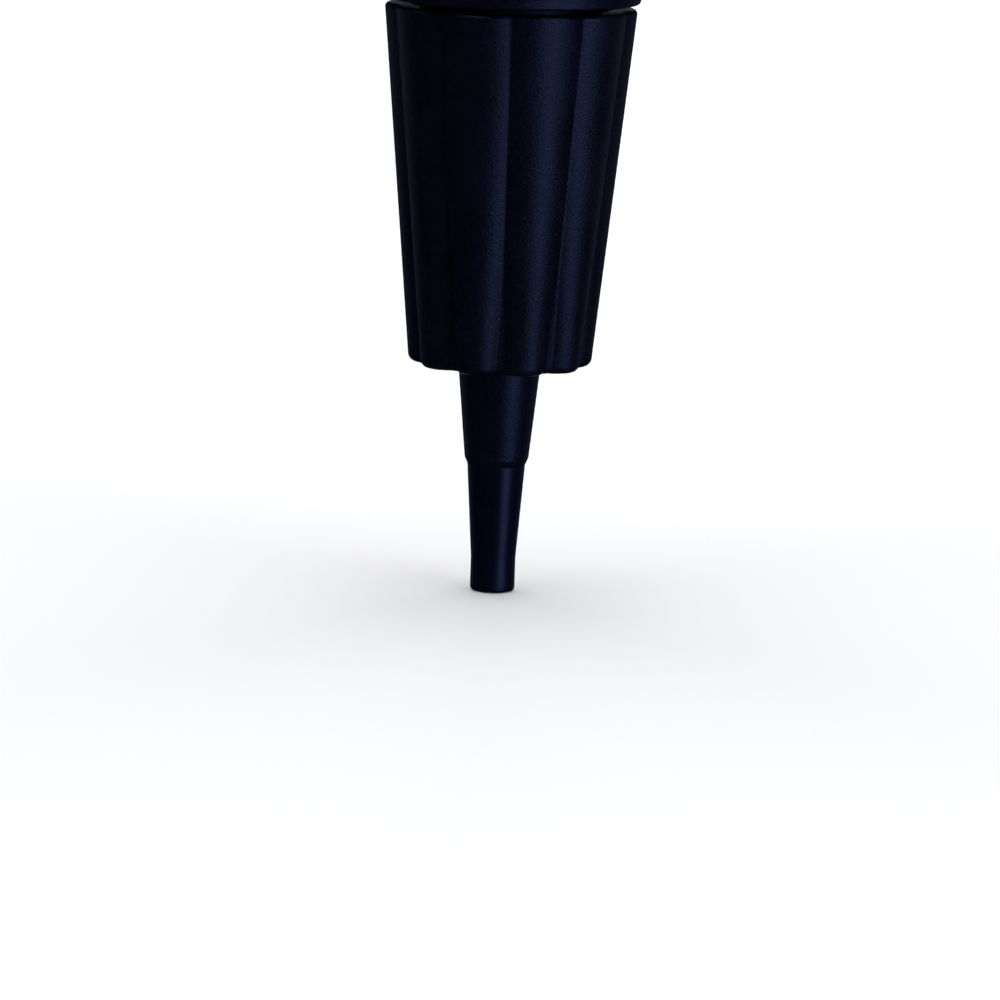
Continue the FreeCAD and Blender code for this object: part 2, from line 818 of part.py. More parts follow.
def handle_shell(label, turn):
    body = new_body(label, "bar_level", turn)
    revolve(body, [
        ("0", "- hub_low"),
        ("hub_foot_radius", "- hub_low"),
        ("hub_radius", "- hub_foot"),
        ("hub_radius", "hub_top - hub_dome", "hub_dome"),
        ("hub_radius - hub_dome", "hub_top"),
        ("0", "hub_top"),
    ], angle=180, flip=True)
    revolve(body, [
        ("- bar_half", "0"),
        ("bar_half", "0"),
        ("bar_half", "bar_core"),
        ("bar_collar", "bar_core"),
        ("bar_collar", "bar_radius - wide_bevel"),
        ("bar_collar - wide_bevel", "bar_radius"),
        ("wide_bevel - bar_collar", "bar_radius"),
        ("- bar_collar", "bar_radius - wide_bevel"),
        ("- bar_collar", "bar_core"),
        ("- bar_half", "bar_core"),
    ], axis="H_Axis", angle=180)
    revolve(body, [
        ("0", "- hub_low - overcut"),
        ("hub_bore", "- hub_low - overcut"),
        ("hub_bore", "hub_socket_top"),
        ("hub_room", "hub_socket_top"),
        ("hub_room", "hub_room_top"),
        ("vent_hole", "hub_room_top"),
        ("vent_hole", "hub_top + overcut"),
        ("0", "hub_top + overcut"),
    ], "Groove", angle=180, flip=True)
    for side, past_end in (("", "bar_half + overcut"), ("- ", "- bar_half - overcut")):
        revolve(body, [
            (side + "bar_hollow_start", "0"),
            (past_end, "0"),
            (past_end, "bar_hollow"),
            (side + "bar_hollow_step", "bar_hollow"),
            (side + "bar_hollow_step", "bar_hollow_wide"),
            (side + "bar_hollow_start", "bar_hollow_wide"),
        ], "Groove", "H_Axis", 180)
    column(body, "Pad", [("boss_x", "0", "handle_boss"), ("- boss_x", "0", "handle_boss")],
           None, "handle_boss_length", "XZ_Plane")
    column(body, "Pocket", [("0", "pin_level - bar_level", "pin_hole")],
           None, "pin_half + wide_gap", "XZ_Plane", True)
    return body


handle_front = handle_shell("handle_front", 0)
column(handle_front, "Pocket", [("boss_x", "0", "handle_pilot"), ("- boss_x", "0", "handle_pilot")],
       None, "handle_pilot_depth", "XZ_Plane", True)

handle_back = handle_shell("handle_back", 180)
column(handle_back, "Pocket", [("boss_x", "0", "handle_clear"), ("- boss_x", "0", "handle_clear")],
       None, "bar_radius + overcut", "XZ_Plane", True)
column(handle_back, "Pocket", [
    ("boss_x", "0", "screw_head + wide_gap"),
    ("- boss_x", "0", "screw_head + wide_gap"),
], "screw_seat", "bar_radius", "XZ_Plane", True)

handle_screws = new_body("handle_screws", "bar_level", 180)
column(handle_screws, "Pad", [("boss_x", "0", "screw_head"), ("- boss_x", "0", "screw_head")],
       "screw_seat + fit_gap", "screw_head_height", "XZ_Plane")
column(handle_screws, "Pad", [("boss_x", "0", "handle_shank"), ("- boss_x", "0", "handle_shank")],
       "screw_seat + screw_gap", "handle_screw_length", "XZ_Plane", True)
for centre in ("boss_x", "- boss_x"):
    for wide, narrow in (("cross_long", "cross_short"), ("cross_short", "cross_long")):
        slab(handle_screws, "Pocket", [
            (f"{centre} - {wide}", f"- {narrow}"),
            (f"{centre} + {wide}", f"- {narrow}"),
            (f"{centre} + {wide}", narrow),
            (f"{centre} - {wide}", narrow),
        ], "screw_seat + fit_gap + screw_head_height", "cross_depth", "XZ_Plane")

handle_pin = new_body("handle_pin", "pin_level")
column(handle_pin, "Pad", [("0", "0", "pin_radius")], "pin_half", "pin_half*2", "XZ_Plane", True)

for side, turn in (("right", 0), ("left", 180)):
    grip = new_body(f"grip_sleeve_{side}", "bar_level", turn)
    revolve(grip, [
        ("bar_collar + slack", "grip_bore"),
        ("bar_half - slack", "grip_bore"),
        ("bar_half - slack", "grip_end - grip_round"),
        ("bar_half - slack - grip_round", "grip_end"),
        ("bar_collar*0.5 + bar_half*0.5", "grip_middle"),
        ("bar_collar + slack + grip_round", "grip_end"),
        ("bar_collar + slack", "grip_end - grip_round"),
    ], axis="H_Axis")
    end_cap = new_body(f"end_cap_{side}", "bar_level", turn)
    revolve(end_cap, [
        ("bar_half - end_cap_spigot_length", "end_cap_bore"),
        ("bar_half - end_cap_spigot_length", "end_cap_spigot - bevel"),
        ("bar_half + bevel - end_cap_spigot_length", "end_cap_spigot"),
        ("bar_half + fit_gap", "end_cap_spigot"),
        ("bar_half + fit_gap", "end_cap_radius"),
        ("bar_half + end_cap_length - end_cap_round", "end_cap_radius", "- end_cap_round"),
        ("bar_half + end_cap_length", "end_cap_radius - end_cap_round"),
        ("bar_half + end_cap_length", "0"),
        ("bar_half + end_cap_floor", "0"),
        ("bar_half + end_cap_floor", "end_cap_bore"),
    ], axis="H_Axis")

vent_cap = turned("vent_cap", [
    ("vent_spigot_bore", "hub_room_top"),
    ("vent_spigot", "hub_room_top"),
    ("vent_spigot", "hub_top"),
    ("vent_cap_radius", "hub_top"),
    ("vent_cap_radius", "hub_top + vent_cap_height - vent_cap_round", "vent_cap_round"),
    ("vent_cap_radius - vent_cap_round", "hub_top + vent_cap_height"),
    ("0", "hub_top + vent_cap_height"),
    ("0", "hub_top + wide_gap"),
    ("vent_spigot_bore", "hub_top + wide_gap"),
], "bar_level")
slot = slab(vent_cap, "Pocket", [
    ("vent_slot_start", "- vent_slot_half"),
    ("vent_slot_end", "- vent_slot_half"),
    ("vent_slot_end", "vent_slot_half"),
    ("vent_slot_start", "vent_slot_half"),
], "hub_top + vent_cap_height", "vent_cap_height")
repeat(vent_cap, [slot], "vent_slots")

intake_filter = turned("intake_filter", [
    ("0", "hub_socket_top"),
    ("filter_radius", "hub_socket_top"),
    ("filter_radius", "hub_room_top"),
    ("0", "hub_room_top"),
], "bar_level")

# ---- checks and files ----

doc.recompute()
bodies = [item for item in doc.Objects if item.isDerivedFrom("PartDesign::Body")]
for item in doc.Objects:
    if "Invalid" in item.State or "Error" in item.State:
        raise RuntimeError(f"{item.Label} did not compute: {item.State}")
os.makedirs("parts", exist_ok=True)
for body in bodies:
    if body.Shape.isNull() or not body.Shape.isValid():
        raise RuntimeError(f"{body.Label} has no valid shape")
    body.Shape.exportStep(f"parts/{body.Label}.step")
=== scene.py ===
"""Looks for the double-action ball pump: rounded mouldings, grained plastics, soft grips and a small studio.

Pieces are drawn in millimetres and written to their meshes in metres. The pump stands on its nozzle with +Z
up its axis and its handle along X, as in the CAD frame, whose boxes give the ends of the turned pieces.
"""

import json
import math

import bpy
import numpy as np
from mathutils import Matrix, Vector


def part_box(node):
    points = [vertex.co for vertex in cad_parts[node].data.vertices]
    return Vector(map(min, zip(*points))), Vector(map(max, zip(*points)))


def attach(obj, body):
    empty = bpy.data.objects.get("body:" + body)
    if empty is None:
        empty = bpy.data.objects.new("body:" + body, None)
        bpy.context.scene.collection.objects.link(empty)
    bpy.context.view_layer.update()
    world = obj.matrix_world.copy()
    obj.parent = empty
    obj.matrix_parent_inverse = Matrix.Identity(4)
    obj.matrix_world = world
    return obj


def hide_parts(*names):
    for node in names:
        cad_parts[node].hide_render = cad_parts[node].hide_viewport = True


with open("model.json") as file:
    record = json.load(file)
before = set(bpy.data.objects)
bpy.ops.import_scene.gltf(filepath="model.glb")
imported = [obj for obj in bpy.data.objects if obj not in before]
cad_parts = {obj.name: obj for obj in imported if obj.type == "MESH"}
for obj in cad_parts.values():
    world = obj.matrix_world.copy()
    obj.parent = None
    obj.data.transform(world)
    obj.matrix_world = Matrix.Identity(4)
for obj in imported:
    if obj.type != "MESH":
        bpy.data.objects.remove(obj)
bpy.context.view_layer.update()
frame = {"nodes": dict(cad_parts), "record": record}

MM = 0.001


def reach(node):
    """A turned CAD node's lowest level, highest level and outer radius, in millimetres."""
    low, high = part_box(node)
    return low.z / MM, high.z / MM, high.x / MM


NOSE_BASE, NOSE_TOP = reach("nose_cone")[:2]
TIP_LEVEL, FLANGE_TOP, FLANGE_RADIUS = reach("nozzle")
HOUSING_BASE, HOUSING_TOP = reach("lower_housing")[:2]
BARREL_BASE, BARREL_TOP = reach("barrel_tube")[:2]
GLAND_BASE, GLAND_TOP, GLAND_RADIUS = reach("gland_cap")
TUBE_BASE, TUBE_TOP, TUBE_RADIUS = reach("plunger_tube")
SPOUT_TOP = 36.2
COLLAR_BASE = 87.5
HANDLE_LEVEL = 262.0


# ---- materials ----

# how much of the grain is peaks, how the grain fades on a polished stretch, and how pale the painted glints
# in the grain are
PEAK_SHARE = 0.3
FADE_HEIGHT = 0.6
POLISHED_GRAIN = 0.22
GLINT_GAIN = 2.2
GLINT_LIFT = 0.004
FOAM_CELL = 0.9
STEP_TOP = 20.0
FINE_GRAIN = 0.22

# tints of the mirrored light, and pairs of a dark and a light colour
COOL = (0.38, 0.47, 1.0, 1)
NEUTRAL = (1, 1, 1, 1)
NAVY = ((0.0009, 0.0009, 0.0046, 1), (0.0015, 0.0018, 0.0078, 1))
# the nozzle's navy, bluer than the nose's: the plastic's own navy, plus extra blue that is a painted blue
# reflection
NOZZLE_NAVY_WITH_PAINTED_BLUE = ((0.0006, 0.0010, 0.0070, 1), (0.0010, 0.0018, 0.0105, 1))
SATIN_GREY = ((0.255, 0.265, 0.28, 1), (0.29, 0.30, 0.315, 1))
OFF_WHITE = ((0.62, 0.62, 0.60, 1), (0.72, 0.72, 0.70, 1))
RUBBER_BLACK = ((0.012, 0.012, 0.013, 1), (0.026, 0.026, 0.028, 1))
CHARCOAL = ((0.009, 0.010, 0.015, 1), (0.017, 0.018, 0.026, 1))
# the foam's grey walls, and a near-black that is painted shade in its pores
FOAM_PORE_SHADE_AND_GREY = ((0.010, 0.010, 0.011, 1), (0.10, 0.10, 0.11, 1))
ALUMINIUM = (0.75, 0.75, 0.77, 1)
STEEL = (0.60, 0.60, 0.62, 1)


def new_material(name):
    material = bpy.data.materials.new(name)
    material.use_nodes = True
    tree = material.node_tree
    return material, tree, tree.nodes["Principled BSDF"]


def add_node(tree, kind, settings=None, inputs=None):
    """A node with its properties and inputs set; an input given as a socket is linked."""
    node = tree.nodes.new(kind)
    for key, value in (settings or {}).items():
        setattr(node, key, value)
    for key, value in (inputs or {}).items():
        if isinstance(value, bpy.types.NodeSocket):
            tree.links.new(value, node.inputs[key])
        else:
            node.inputs[key].default_value = value
    return node


def object_place(tree, stretch=(1, 1, 1)):
    """The point's own place in its piece, multiplied by stretch along each axis."""
    coordinates = add_node(tree, "ShaderNodeTexCoord")
    mapping = add_node(tree, "ShaderNodeMapping", inputs={
        "Vector": coordinates.outputs["Object"], "Scale": stretch})
    return mapping.outputs["Vector"]


def noise(tree, place, size_mm, detail=2.0, roughness=0.5):
    """Noise whose features are about size_mm across."""
    node = add_node(tree, "ShaderNodeTexNoise", inputs={
        "Vector": place, "Scale": 1 / (size_mm * MM), "Detail": detail, "Roughness": roughness})
    return node.outputs["Fac"]


def graded(tree, value, low, high, to_low, to_high):
    """value from low to high mapped to a number from to_low to to_high, held beyond."""
    node = add_node(tree, "ShaderNodeMapRange", inputs={
        "Value": value, "From Min": low, "From Max": high, "To Min": to_low, "To Max": to_high})
    return node.outputs["Result"]


def combined(tree, operation, first, second):
    node = add_node(tree, "ShaderNodeMath", {"operation": operation}, {0: first, 1: second})
    return node.outputs["Value"]


def mixed(tree, factor, first, second):
    node = add_node(tree, "ShaderNodeMix", {"data_type": "RGBA"})
    sockets = [socket for socket in node.inputs if socket.enabled]
    for socket, value in zip(sockets, (factor, first, second)):
        if isinstance(value, bpy.types.NodeSocket):
            tree.links.new(value, socket)
        else:
            socket.default_value = value
    return next(socket for socket in node.outputs if socket.enabled)


def bump(tree, height, depth_mm, under=None):
    inputs = {"Height": height, "Distance": depth_mm * MM, "Strength": 1.0}
    if under is not None:
        inputs["Normal"] = under
    return add_node(tree, "ShaderNodeBump", inputs=inputs).outputs["Normal"]


def wire(tree, shader, **sockets):
    """Links or sets the shader's inputs, named with underscores for spaces."""
    for name, value in sockets.items():
        socket = shader.inputs[name.replace("_", " ")]
        if isinstance(value, bpy.types.NodeSocket):
            tree.links.new(value, socket)
        else:
            socket.default_value = value


def grained_plastic(name, dark, light, roughness, grain_mm, depth_mm, smooth_below_mm=None):
    """Plastic from a spark-eroded mould: fine pits and peaks, a faint haze, and pale flecks in the grain that
    are painted glints.
    Below smooth_below_mm the mould was polished, so the grain fades there over FADE_HEIGHT."""
    material, tree, shader = new_material(name)
    place = object_place(tree)
    grain = noise(tree, place, grain_mm, 3.0, 0.65)
    peaks = graded(tree, noise(tree, place, grain_mm * 1.9, 1.0), 0.3, 0.7, 0.0, 1.0)
    haze = noise(tree, place, 11.0, 3.0)
    # pale flecks at the grain's size, mixed into the colour: painted glints
    painted_glints = graded(tree, noise(tree, place, grain_mm * 1.3, 0.0), 0.66, 0.74, 0.0, 0.5)
    height = combined(tree, "ADD", combined(tree, "MULTIPLY", grain, 1 - PEAK_SHARE),
                      combined(tree, "MULTIPLY", peaks, PEAK_SHARE))
    if smooth_below_mm is not None:
        level = add_node(tree, "ShaderNodeSeparateXYZ", inputs={"Vector": place}).outputs["Z"]
        fade_start = (smooth_below_mm - FADE_HEIGHT) * MM
        strength = graded(tree, level, fade_start, smooth_below_mm * MM, POLISHED_GRAIN, 1.0)
        height = combined(tree, "MULTIPLY", height, strength)
        painted_glints = combined(tree, "MULTIPLY", painted_glints, strength)
    colour = mixed(tree, graded(tree, haze, 0.38, 0.66, 0.0, 0.8), dark, light)
    # the pale colour of the painted glints
    glint_colour = tuple(min(1.0, GLINT_GAIN * c + GLINT_LIFT) for c in light[:3]) + (1,)
    rough = combined(tree, "ADD", graded(tree, grain, 0.3, 0.7, roughness - 0.07, roughness + 0.07),
                     graded(tree, haze, 0.35, 0.65, -0.03, 0.03))
    wire(tree, shader, Base_Color=mixed(tree, painted_glints, colour, glint_colour), Roughness=rough, IOR=1.5,
         Specular_Tint=COOL, Normal=bump(tree, height, depth_mm, bump(tree, haze, 0.015)))
    return material


def drawn_plastic(name, dark, light, roughness, tint):
    """Smooth extruded plastic: long faint draw lines, hairline scuffs and a little orange peel."""
    material, tree, shader = new_material(name)
    place = object_place(tree)
    lines = noise(tree, object_place(tree, (1, 1, 0.015)), 0.6, 2.0)
    peel = noise(tree, place, 1.6, 2.0)
    haze = noise(tree, place, 16.0, 3.0)
    scuffs = graded(tree, noise(tree, object_place(tree, (1, 1, 0.06)), 0.35, 1.0), 0.68, 0.76, 0.0, 1.0)
    patches = graded(tree, noise(tree, place, 14.0, 2.0), 0.5, 0.62, 0.0, 1.0)
    worn = combined(tree, "MULTIPLY", scuffs, patches)
    rough = combined(tree, "ADD", graded(tree, haze, 0.3, 0.7, roughness - 0.05, roughness + 0.07),
                     combined(tree, "MULTIPLY", worn, 0.12))
    colour = mixed(tree, graded(tree, haze, 0.35, 0.65, 0.0, 1.0), dark, light)
    wire(tree, shader, Base_Color=colour, Roughness=rough, IOR=1.5, Specular_Tint=tint,
         Normal=bump(tree, lines, 0.003, bump(tree, peel, 0.004)))
    return material


def soft_rubber(name, dark, light, roughness, grain_mm, depth_mm):
    """Moulded rubber: matt, with a fine grain, a slight bloom and a soft sheen."""
    material, tree, shader = new_material(name)
    place = object_place(tree)
    grain = noise(tree, place, grain_mm, 3.0, 0.6)
    bloom = noise(tree, place, 7.0, 3.0)
    colour = mixed(tree, graded(tree, bloom, 0.35, 0.7, 0.0, 1.0), dark, light)
    rough = graded(tree, grain, 0.3, 0.7, roughness - 0.08, roughness + 0.08)
    wire(tree, shader, Base_Color=colour, Roughness=rough, IOR=1.45, Sheen_Weight=0.06, Sheen_Roughness=0.5,
         Normal=bump(tree, grain, depth_mm))
    return material


def drawn_metal(name, colour, roughness, stretch):
    """Drawn or turned metal: fine tool marks, long where stretch is small, and patches of dulled finish."""
    material, tree, shader = new_material(name)
    marks = noise(tree, object_place(tree, stretch), 0.12, 2.0)
    patches = noise(tree, object_place(tree), 5.0, 2.0)
    dull = tuple(c * 0.8 for c in colour[:3]) + (1,)
    rough = combined(tree, "ADD", graded(tree, marks, 0.3, 0.7, roughness - 0.06, roughness + 0.06),
                     graded(tree, patches, 0.35, 0.65, -0.03, 0.05))
    patched = mixed(tree, graded(tree, patches, 0.4, 0.7, 0.0, 0.7), colour, dull)
    wire(tree, shader, Base_Color=patched, Metallic=1.0, Roughness=rough, Normal=bump(tree, marks, 0.003))
    return material


def open_foam(name, dark, light):
    """Open-cell foam: small round cells with light walls, and painted shade darkening each cell's hollow."""
    material, tree, shader = new_material(name)
    cells = add_node(tree, "ShaderNodeTexVoronoi", inputs={
        "Vector": object_place(tree), "Scale": 1 / (FOAM_CELL * MM)})
    walls_and_pore_shade = graded(tree, cells.outputs["Distance"], 0.2, 0.7, 0.0, 1.0)
    # dark towards each cell's middle, where the bump sinks it: painted shade in the pores
    colour = mixed(tree, walls_and_pore_shade, dark, light)
    wire(tree, shader, Base_Color=colour, Roughness=0.95, Normal=bump(tree, walls_and_pore_shade, 0.25))
    return material


nose_plastic = grained_plastic("nose_plastic", *NAVY, roughness=0.37, grain_mm=FINE_GRAIN, depth_mm=0.075)
nozzle_plastic = grained_plastic("nozzle_plastic", *NOZZLE_NAVY_WITH_PAINTED_BLUE, roughness=0.34, grain_mm=FINE_GRAIN,
                                 depth_mm=0.055, smooth_below_mm=STEP_TOP)
barrel_plastic = drawn_plastic("barrel_plastic", *NAVY, roughness=0.30, tint=COOL)
plunger_plastic = drawn_plastic("plunger_plastic", *SATIN_GREY, roughness=0.32, tint=NEUTRAL)
bush_plastic = grained_plastic("bush_plastic", *OFF_WHITE, roughness=0.45, grain_mm=0.3, depth_mm=0.012)
seal_rubber = soft_rubber("seal_rubber", *RUBBER_BLACK, roughness=0.62, grain_mm=0.25, depth_mm=0.010)
grip_rubber = soft_rubber("grip_rubber", *CHARCOAL, roughness=0.62, grain_mm=0.28, depth_mm=0.05)
tube_aluminium = drawn_metal("tube_aluminium", ALUMINIUM, roughness=0.30, stretch=(1, 1, 0.02))
screw_steel = drawn_metal("screw_steel", STEEL, roughness=0.32, stretch=(1, 0.1, 1))
filter_foam = open_foam("filter_foam", *FOAM_PORE_SHADE_AND_GREY)
FINISHES = {
    "nose_plastic": nose_plastic, "barrel_plastic": barrel_plastic, "plunger_plastic": plunger_plastic,
    "bush_plastic": bush_plastic, "seal_rubber": seal_rubber, "grip_rubber": grip_rubber,
    "tube_aluminium": tube_aluminium, "screw_steel": screw_steel, "filter_foam": filter_foam,
}
for part in frame["record"]["subparts"]:
    for slot in frame["nodes"][part["node"]].material_slots:
        slot.material = FINISHES[part["material_slot"]]


# ---- outlines and meshes, in millimetres ----

# the share of a side that an arc may take up, and the radius below which a point is on the axis
ARC_LIMIT = 0.49
ON_AXIS = 1e-6

# half widths of a thread's ridge at its foot and crest, and how low the ridge starts and ends
THREAD_PITCH = 3.0
THREAD_FOOT, THREAD_FLAT = 0.75, 0.45
THREAD_FADES = 8
LEAST_RIDGE = 0.15

# how a net's points are moved onto its surface; FARTHEST_NUDGE is a share of the grid's step
NUDGES = 4
PROBE = 0.01
LEAST_SLOPE = 0.1
FARTHEST_NUDGE = 0.3


def rounded(corners, steps=6):
    """A closed outline whose corners (x, y, radius) are replaced by arcs; a radius of 0 leaves the corner.
    An arc takes up less than half of either side, so that it can't meet its neighbour's."""
    outline = []
    for i, (x, y, radius) in enumerate(corners):
        corner = Vector((x, y))
        if not radius:
            outline.append(corner)
            continue
        before = Vector(corners[i - 1][:2]) - corner
        after = Vector(corners[(i + 1) % len(corners)][:2]) - corner
        half = before.angle(after) / 2
        length = min(radius / math.tan(half), before.length * ARC_LIMIT, after.length * ARC_LIMIT)
        radius = length * math.tan(half)
        before.normalize()
        after.normalize()
        centre = corner + (before + after).normalized() * (radius / math.sin(half))
        start = corner + before * length - centre
        swing = start.angle_signed(corner + after * length - centre)
        for step in range(steps + 1):
            angle = -swing * step / steps
            outline.append(centre + Matrix.Rotation(angle, 2) @ start)
    return outline


def mesh_object(name, vertices, faces, body, material, slot):
    """A smooth piece made from points in millimetres, riding on a body."""
    mesh = bpy.data.meshes.new(name)
    mesh.from_pydata([tuple(c * MM for c in v) for v in vertices], [], faces)
    mesh.validate()
    mesh.shade_smooth()
    mesh.materials.append(material)
    piece = bpy.data.objects.new(name, mesh)
    bpy.context.scene.collection.objects.link(piece)
    weights = piece.modifiers.new("weighted_normals", "WEIGHTED_NORMAL")
    weights.weight = 100
    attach(piece, body)
    return piece


def ring_loft(rings):
    """Vertices and faces of a tube through rings of equal length, closed from the last ring to the first."""
    count = len(rings[0])
    vertices = [point for ring in rings for point in ring]
    faces = []
    for i in range(len(rings)):
        lower, upper = i * count, ((i + 1) % len(rings)) * count
        for j in range(count):
            k = (j + 1) % count
            faces.append((lower + j, lower + k, upper + k, upper + j))
    return vertices, faces


def turned_mesh(outline, steps=160, along="Z", level=0.0):
    """Vertices and faces of an outline of (radius, height) turned round Z, or of (height, radius) round X,
    raised to a level. Points on the axis become poles."""
    vertices, rows = [], []
    for first, second in outline:
        radius, height = (first, second) if along == "Z" else (second, first)
        count = 1 if radius < ON_AXIS else steps
        rows.append((len(vertices), count))
        for j in range(count):
            angle = math.tau * j / steps
            side, other = radius * math.cos(angle), radius * math.sin(angle)
            if along == "Z":
                vertices.append((side, other, height + level))
            else:
                vertices.append((height, side, other + level))
    faces = []
    for i, (start, count) in enumerate(rows):
        following, its_count = rows[(i + 1) % len(rows)]
        if count == its_count == 1:
            continue
        for j in range(steps):
            k = (j + 1) % steps
            lower = (start + j % count, start + k % count)
            upper = (following + k % its_count, following + j % its_count)
            faces.append(tuple(dict.fromkeys(lower + upper)))
    return vertices, faces


def outward(vertices, faces):
    """The faces, all turned round when they enclose a negative volume."""
    points = np.array(vertices)
    volume = 0.0
    for face in faces:
        for second, third in zip(face[1:], face[2:]):
            volume += np.dot(points[face[0]], np.cross(points[second], points[third]))
    return faces if volume > 0 else [face[::-1] for face in faces]


def join_parts(*parts):
    """One list of vertices and one of faces from several closed shells, each turned outwards."""
    vertices, faces = [], []
    for part_vertices, part_faces in parts:
        shift = len(vertices)
        faces += [tuple(i + shift for i in face) for face in outward(part_vertices, part_faces)]
        vertices += list(part_vertices)
    return vertices, faces


def thread_ridge(foot, crest, start, height, steps_per_turn=96):
    """A closed right-handed ridge from the foot radius to the crest radius, wound up from the level start. It
    thins away over the last part of a turn, one over THREAD_FADES, at both ends."""
    steps = round(steps_per_turn * height / THREAD_PITCH)
    rings = []
    for i in range(steps + 1):
        angle = math.tau * i / steps_per_turn
        z = start + THREAD_PITCH * i / steps_per_turn
        fade = min(1.0, THREAD_FADES * i / steps_per_turn, THREAD_FADES * (steps - i) / steps_per_turn)
        top = foot + (crest - foot) * max(fade, LEAST_RIDGE)
        section = [(foot, -THREAD_FOOT), (top, -THREAD_FLAT), (top, THREAD_FLAT), (foot, THREAD_FOOT)]
        rings.append([(r * math.cos(angle), r * math.sin(angle), z + dz) for r, dz in section])
    vertices = [point for ring in rings for point in ring]
    faces = [(3, 2, 1, 0), tuple(len(vertices) - 4 + k for k in range(4))]
    for i in range(steps):
        for j in range(4):
            k = (j + 1) % 4
            faces.append((4 * i + j, 4 * i + k, 4 * i + 4 + k, 4 * i + 4 + j))
    return vertices, faces


def net_mesh(distance, low, high, step):
    """Vertices and faces of the surface where distance(x, y, z) is zero: a vertex in each grid cell that the
    surface crosses, and a face across each grid edge that it crosses. The vertices are then moved onto the
    surface in a few short moves along its slope."""
    axes = [np.arange(a, b + step, step) for a, b in zip(low, high)]
    field = distance(*np.meshgrid(*axes, indexing="ij"))
    total = np.zeros(tuple(n - 1 for n in field.shape) + (3,))
    hits = np.zeros(total.shape[:3])
    cells = tuple(n - 1 for n in field.shape)
    crossings = []
    for axis in range(3):
        first = np.take(field, range(cells[axis]), axis)
        second = np.take(field, range(1, cells[axis] + 1), axis)
        where = np.argwhere((first < 0) != (second < 0))
        a, b = first[tuple(where.T)], second[tuple(where.T)]
        point = where.astype(float)
        point[:, axis] += a / (a - b)
        others = [k for k in range(3) if k != axis]
        around = []
        for da, db in ((0, 0), (-1, 0), (-1, -1), (0, -1)):
            cell = where.copy()
            cell[:, others[0]] += da
            cell[:, others[1]] += db
            np.add.at(total, tuple(cell.T), point)
            np.add.at(hits, tuple(cell.T), 1)
            around.append(cell)
        crossings.append((around, (a < 0) == (axis != 1)))
    used = np.argwhere(hits > 0)
    index = np.full(cells, -1)
    index[tuple(used.T)] = np.arange(len(used))
    points = total[tuple(used.T)] / hits[tuple(used.T)][:, None] * step + np.array([a[0] for a in axes])
    farthest = FARTHEST_NUDGE * step
    for _ in range(NUDGES):
        value = distance(*points.T)
        rises = [distance(*(points + shift).T) - distance(*(points - shift).T) for shift in np.eye(3) * PROBE]
        slope = np.stack(rises, axis=1) / (2 * PROBE)
        steepness = np.maximum((slope**2).sum(1), LEAST_SLOPE)
        points += np.clip(-slope * (value / steepness)[:, None], -farthest, farthest)
    faces = []
    for around, forward in crossings:
        quads = np.stack([index[tuple(cell.T)] for cell in around], axis=1)
        quads[~forward] = quads[~forward][:, ::-1]
        faces += quads.tolist()
    return points.tolist(), faces


# distances to solids, negative inside, on arrays of coordinates


def round_bar(across, other, along, radius, low, high, edge=0.0):
    """A cylinder between two heights, with its rims rounded by edge."""
    side = np.hypot(across, other) - (radius - edge)
    end = np.abs(along - (low + high) / 2) - (high - low) / 2 + edge
    outside = np.hypot(np.maximum(side, 0), np.maximum(end, 0))
    return np.minimum(np.maximum(side, end), 0) + outside - edge


def blended(a, b, radius):
    """The union of two solids with a fillet where they meet."""
    corner = np.hypot(np.maximum(radius - a, 0), np.maximum(radius - b, 0))
    return np.maximum(radius, np.minimum(a, b)) - corner


def trimmed(a, b, radius):
    """What two solids share, with its new edges rounded."""
    corner = np.hypot(np.maximum(radius + a, 0), np.maximum(radius + b, 0))
    return np.minimum(-radius, np.maximum(a, b)) + corner


# ---- nose: ten rounded lobes that meet in narrow grooves ----

# radii at the base and at the top: out to the crests, of a crest's own arc, and out to the groove floors
LOBES = 10
CREST = (13.42, 18.42)
CURVE = (3.3, 9.2)
FLOOR = (11.85, 17.6)
FILLET = 0.22
NOSE_PHASE = math.radians(0.5)
NOSE_FOOT, NOSE_BROW = 1.1, 0.8
THREAD_HEIGHT = 9.0


def bezier(first, control, last, steps):
    """Points of a quadratic curve, without its first point."""
    shares = [k / steps for k in range(1, steps + 1)]
    return [first * (1 - t) ** 2 + control * 2 * t * (1 - t) + last * t * t for t in shares]


def arc(centre, radius, start, end, steps):
    """Points of an arc between two angles, without its first point."""
    angles = [start + (end - start) * k / steps for k in range(1, steps + 1)]
    return [centre + radius * Vector((math.cos(a), math.sin(a))) for a in angles]


def half_lobe(crest, curve, floor):
    """Points from the middle of a groove, along its round floor, to the crest of the next lobe on +X."""
    middle = -math.pi / LOBES
    axis = Vector((0, 0))
    centre = Vector((crest - curve, 0))
    corner_at = -math.acos((floor**2 + centre.x**2 - curve**2) / (2 * floor * centre.x))
    corner = Vector((math.cos(corner_at), math.sin(corner_at))) * floor
    rise = math.atan2(corner.y, corner.x - centre.x) + FILLET / curve
    points = [Vector((math.cos(middle), math.sin(middle))) * floor]
    points += arc(axis, floor, middle, corner_at - FILLET / floor, 2)
    points += bezier(points[-1], corner, centre + Vector((math.cos(rise), math.sin(rise))) * curve, 4)
    return points + arc(centre, curve, rise, 0.0, 14)


